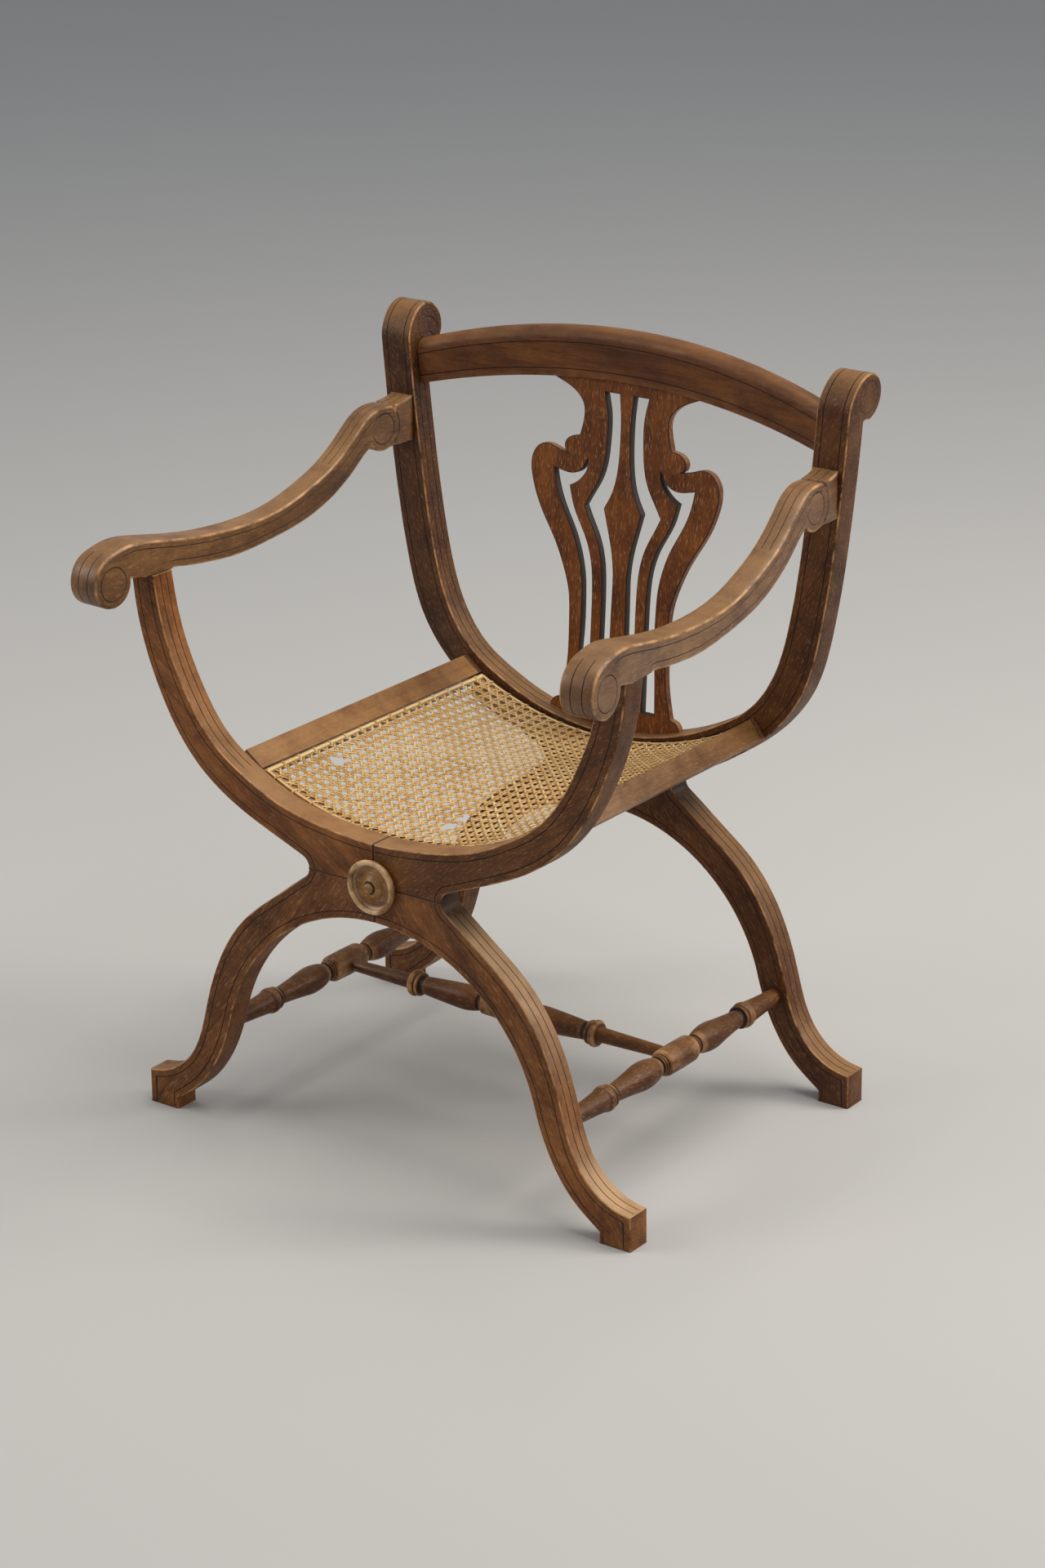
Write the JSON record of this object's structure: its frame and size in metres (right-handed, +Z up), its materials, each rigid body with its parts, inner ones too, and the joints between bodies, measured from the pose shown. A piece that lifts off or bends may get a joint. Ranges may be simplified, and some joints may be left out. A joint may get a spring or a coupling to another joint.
{
  "type": "armchair",
  "caption": "Low armchair on two crossed, curved oak frames, with scrolled arms, a bowed crest, a pierced splat, turned stretchers and a dished cane seat.",
  "frame": {"origin": "on the floor under the middle of the chair's overall box", "axes": "+X across the chair to the right as seen from the front, +Y from front to back, +Z up"},
  "size_m": [0.6514, 0.5512, 0.8035],
  "materials": {
    "oak": "stained and waxed oak, semi-gloss, worn paler on edges",
    "beech": "plain unfinished beech",
    "packing_wood": "bare pale wood",
    "cane": "woven split rattan cane, satin"
  },
  "bodies": {
    "root": {"front_post_left": "oak", "front_post_right": "oak", "front_leg_left": "oak", "front_leg_right": "oak", "back_post_left": "oak", "back_post_right": "oak", "back_leg_left": "oak", "back_leg_right": "oak", "arm_left": "oak", "arm_right": "oak", "crest_rail": "oak", "splat": "oak", "boss": "oak", "seat_rail_left": "oak", "seat_rail_right": "oak", "side_stretcher_left": "oak", "side_stretcher_right": "oak", "cross_stretcher": "oak", "seat_bearer_front": "beech", "seat_bearer_back": "beech", "front_frame_dowels": "beech", "back_frame_dowels": "beech", "arm_dowels": "beech", "rail_packing_left": "packing_wood", "rail_packing_right": "packing_wood", "cane_seat": "cane", "cane_binding": "cane"}
  },
  "joints": []
}
